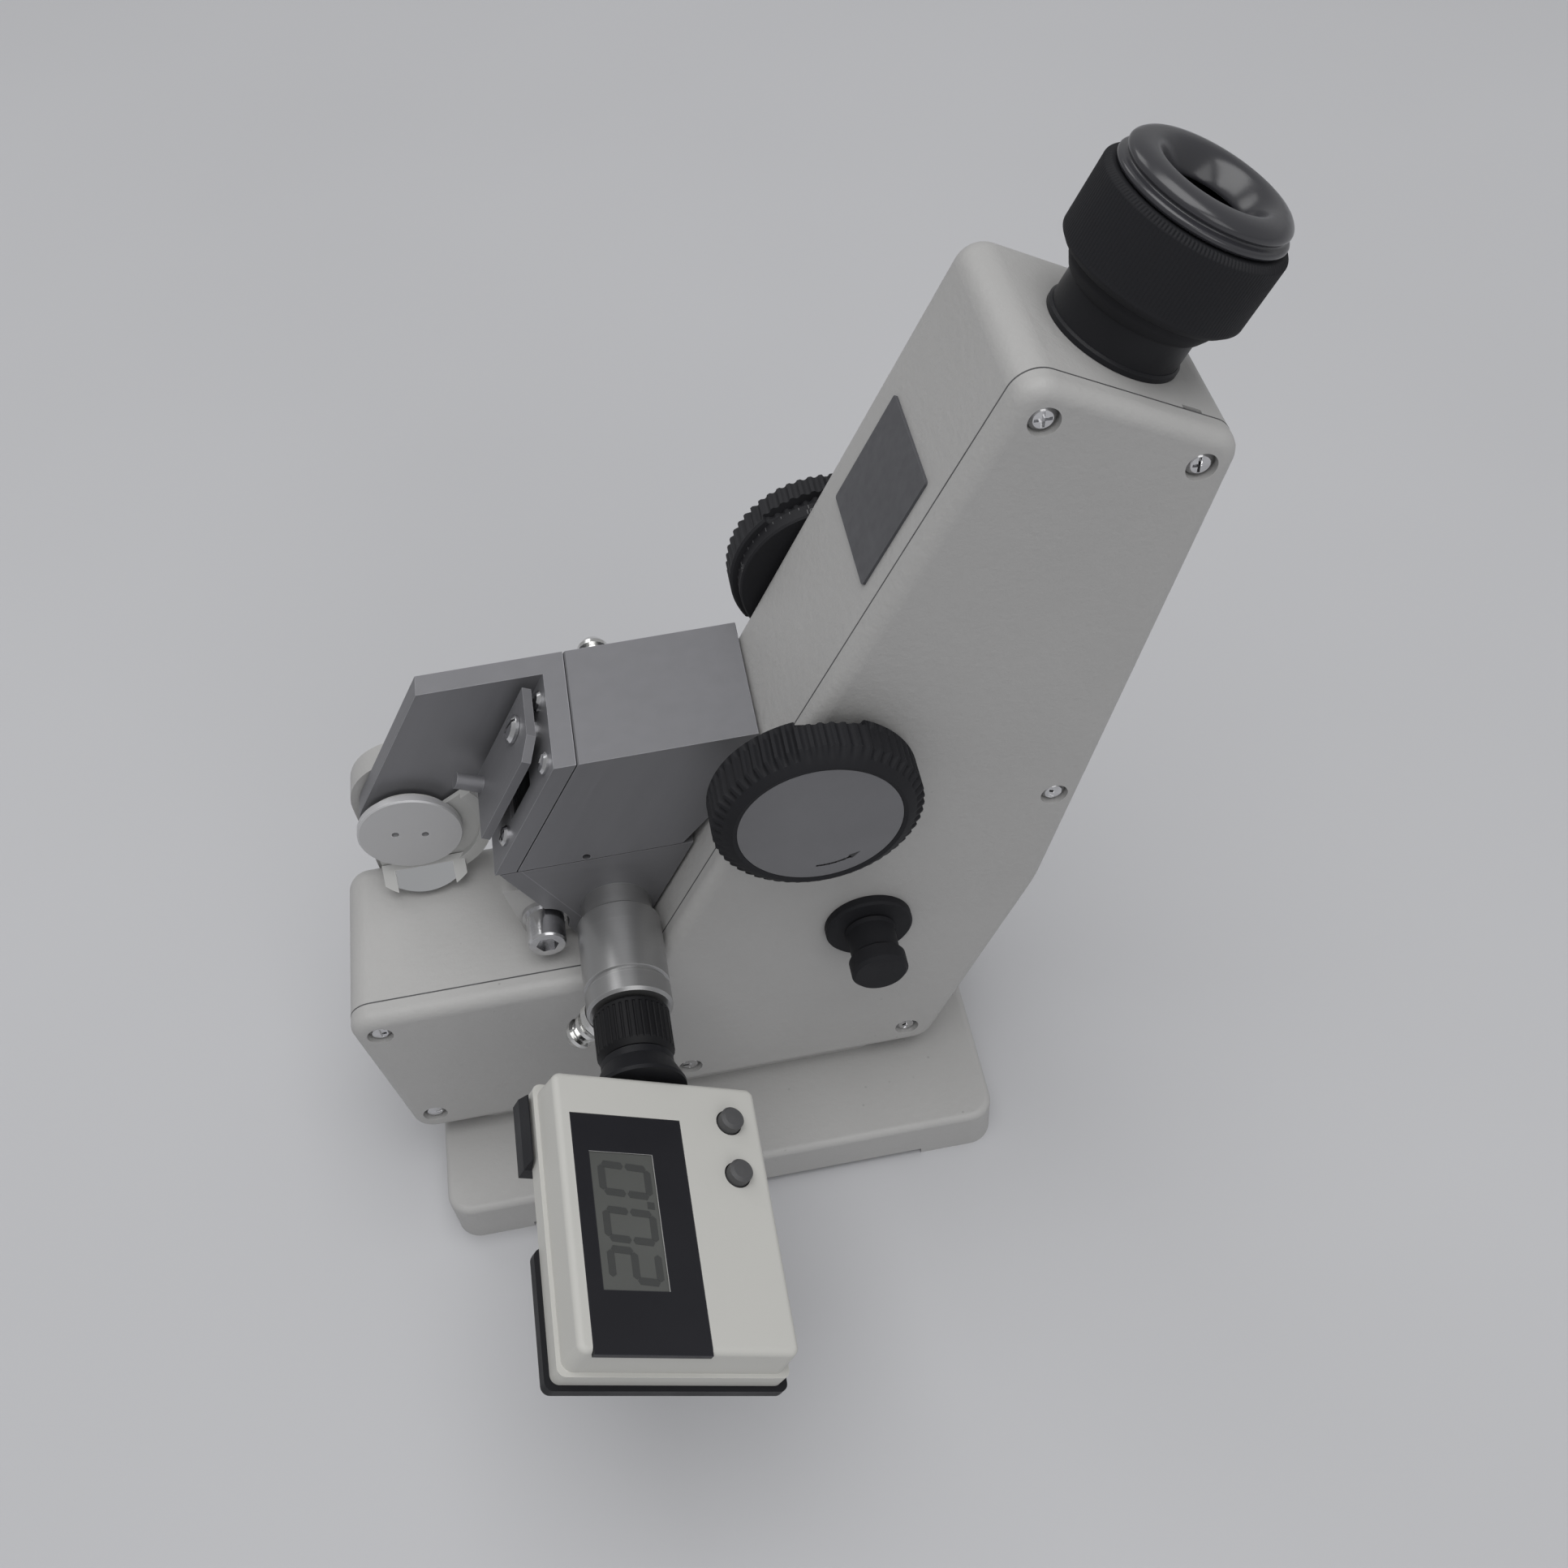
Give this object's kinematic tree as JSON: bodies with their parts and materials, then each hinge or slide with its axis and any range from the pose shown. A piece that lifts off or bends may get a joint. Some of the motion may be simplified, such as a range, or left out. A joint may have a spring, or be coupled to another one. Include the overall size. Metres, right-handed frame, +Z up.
{
  "type": "abbe refractometer",
  "caption": "Bench Abbe refractometer with hinged prism housings, a slanted sighting arm and eyepiece, control knobs and a plug-in digital thermometer.",
  "frame": {"origin": "centre of the flat underside of the base plate, on the table", "axes": "+X from the prism end to the eyepiece side, along the case; +Y away from the covered near side; +Z up from the table"},
  "size_m": [0.1959, 0.1614, 0.2392],
  "materials": {
    "cast_paint": "textured_cast_paint",
    "polymer_white": "matte_moulded",
    "case_plastic": "satin_moulded",
    "prism_metal": "fine_brushed",
    "mechanism_metal": "turned",
    "blackened": "black_anodised",
    "bright_steel": "polished_plating",
    "plain_steel": "machined",
    "hose_brass": "nickel_plated_brass",
    "knob_black": "satin_moulded_black",
    "ring_black": "engraved_black",
    "eyecup_rubber": "soft_matte",
    "shell_black": "satin_moulded_black",
    "button_plastic": "satin_moulded",
    "panel_dark": "printed_panel",
    "badge_dark": "satin_black_enamel",
    "board_green": "solder_resist",
    "lcd_glass": "liquid_crystal_window",
    "optical_glass": "polished",
    "frosted_glass": "frosted",
    "silvered": "silvered_glass"
  },
  "bodies": {
    "instrument": {"base_plate": "cast_paint", "base_bolts": "plain_steel", "body_casting": "cast_paint", "side_cover": "cast_paint", "cover_screws": "bright_steel", "badge_plate": "badge_dark", "condenser_window": "frosted_glass", "refracting_prism_housing": "prism_metal", "refracting_prism": "optical_glass", "housing_bolts": "plain_steel", "hinge_shaft": "plain_steel", "hinge_cap": "prism_metal", "prism_cradle": "prism_metal", "thermometer_seat": "prism_metal", "cradle_washer": "bright_steel", "cradle_cap_screw": "bright_steel", "thermometer_socket": "prism_metal", "socket_hose_nipple": "hose_brass", "rear_hose_nipple": "hose_brass", "thermometer_nut": "knob_black", "index_bush": "mechanism_metal", "telescope_tube": "blackened", "telescope_lenses": "optical_glass"},
    "entry_block": {"entry_prism_housing": "prism_metal", "entry_prism": "optical_glass", "entry_housing_screws": "bright_steel", "light_shield_screw": "bright_steel"},
    "light_shield": {"light_shield_plate": "prism_metal"},
    "reflector": {"mirror_holder": "polymer_white", "mirror_glass": "silvered"},
    "lock": {"lock_knob": "knob_black", "lock_knob_disc": "prism_metal", "lock_shaft": "plain_steel"},
    "index": {"index_knob": "knob_black", "index_shaft": "plain_steel"},
    "scale": {"scale_sector": "mechanism_metal", "scale_glass": "optical_glass", "scale_mirror": "silvered"},
    "dispersion": {"dispersion_wheel": "knob_black", "dispersion_scale_ring": "ring_black", "dispersion_shaft": "plain_steel"},
    "cell_lower": {"compensator_cell_lower": "mechanism_metal", "compensator_prism_lower": "optical_glass"},
    "cell_upper": {"compensator_cell_upper": "mechanism_metal", "compensator_prism_upper": "optical_glass"},
    "idler": {"compensator_idler": "plain_steel"},
    "eyepiece_focus": {"eyepiece_lens_tube": "blackened", "eyepiece_lenses": "optical_glass"},
    "eyepiece_ring": {"eyepiece_collar": "knob_black", "eyecup": "eyecup_rubber"},
    "thermometer": {"thermometer_probe": "plain_steel", "thermometer_stem": "shell_black", "thermometer_back_case": "shell_black", "thermometer_front_case": "case_plastic", "display_panel": "panel_dark", "display_window": "lcd_glass", "circuit_board": "board_green"},
    "power_key": {"power_button": "button_plastic"},
    "unit_key": {"unit_button": "button_plastic"}
  },
  "joints": [
    {"name": "entry_hinge", "type": "hinge", "parent": "instrument", "child": "entry_block", "pos_m": [-0.0564, 0.0198, 0.0898], "axis": [0, -1, 0], "range_deg": [0, 110]},
    {"name": "light_shield_pivot", "type": "hinge", "parent": "entry_block", "child": "light_shield", "pos_m": [-0.02577, 0.0073, 0.12336], "axis": [-0.866, 0, 0.5], "range_deg": [0, 90]},
    {"name": "reflector_tilt", "type": "hinge", "parent": "instrument", "child": "reflector", "pos_m": [-0.0564, 0.0158, 0.0898], "axis": [0, -1, 0], "range_deg": [-20, 20]},
    {"name": "lock_turn", "type": "hinge", "parent": "instrument", "child": "lock", "pos_m": [0.0306, -0.025, 0.1281], "axis": [0, -1, 0], "range_deg": [0, 90]},
    {"name": "index_turn", "type": "hinge", "parent": "instrument", "child": "index", "pos_m": [0.0411, -0.03, 0.0744], "axis": [0, -1, 0], "range_deg": [-180, 180]},
    {"name": "scale_swing", "type": "hinge", "parent": "instrument", "child": "scale", "pos_m": [0.04214, 0.01, 0.1134], "axis": [0, -1, 0], "range_deg": [-15.2, 15.2]},
    {"name": "dispersion_turn", "type": "hinge", "parent": "instrument", "child": "dispersion", "pos_m": [0.04398, 0.03, 0.13597], "axis": [0, 1, 0], "continuous": true},
    {"name": "cell_lower_turn", "type": "hinge", "parent": "instrument", "child": "cell_lower", "pos_m": [0.05064, 0, 0.1292], "axis": [0.4735, 0, 0.8808], "continuous": true},
    {"name": "cell_upper_turn", "type": "hinge", "parent": "instrument", "child": "cell_upper", "pos_m": [0.05064, 0, 0.1292], "axis": [0.4735, 0, 0.8808], "continuous": true},
    {"name": "idler_turn", "type": "hinge", "parent": "instrument", "child": "idler", "pos_m": [0.05466, 0, 0.13669], "axis": [0.8808, 0, -0.4735], "continuous": true},
    {"name": "eyepiece_slide", "type": "slide", "parent": "instrument", "child": "eyepiece_focus", "axis": [0.4735, 0, 0.8808], "range_m": [-0.002, 0.002]},
    {"name": "eyepiece_turn", "type": "hinge", "parent": "instrument", "child": "eyepiece_ring", "pos_m": [0.0915, 0, 0.20522], "axis": [0.4735, 0, 0.8808], "range_deg": [-120, 120]},
    {"name": "thermometer_swivel", "type": "hinge", "parent": "instrument", "child": "thermometer", "pos_m": [-0.0134, -0.06, 0.08], "axis": [0, 1, 0], "range_deg": [-120, 120]},
    {"name": "power_press", "type": "slide", "parent": "thermometer", "child": "power_key", "axis": [-0.5, 0, -0.866], "range_m": [0, 0.0008], "stiffness_N_per_m": 150, "springref_m": -0.001},
    {"name": "unit_press", "type": "slide", "parent": "thermometer", "child": "unit_key", "axis": [-0.5, 0, -0.866], "range_m": [0, 0.0008], "stiffness_N_per_m": 150, "springref_m": -0.001}
  ],
  "couplings": [
    {"joint": "scale_swing", "follows": "index_turn", "ratio": -0.083301},
    {"joint": "cell_lower_turn", "follows": "dispersion_turn", "ratio": 0.5},
    {"joint": "cell_upper_turn", "follows": "dispersion_turn", "ratio": -0.5},
    {"joint": "idler_turn", "follows": "dispersion_turn", "ratio": 1.7143},
    {"joint": "eyepiece_turn", "follows": "eyepiece_slide", "rad_per_m": 1047}
  ]
}
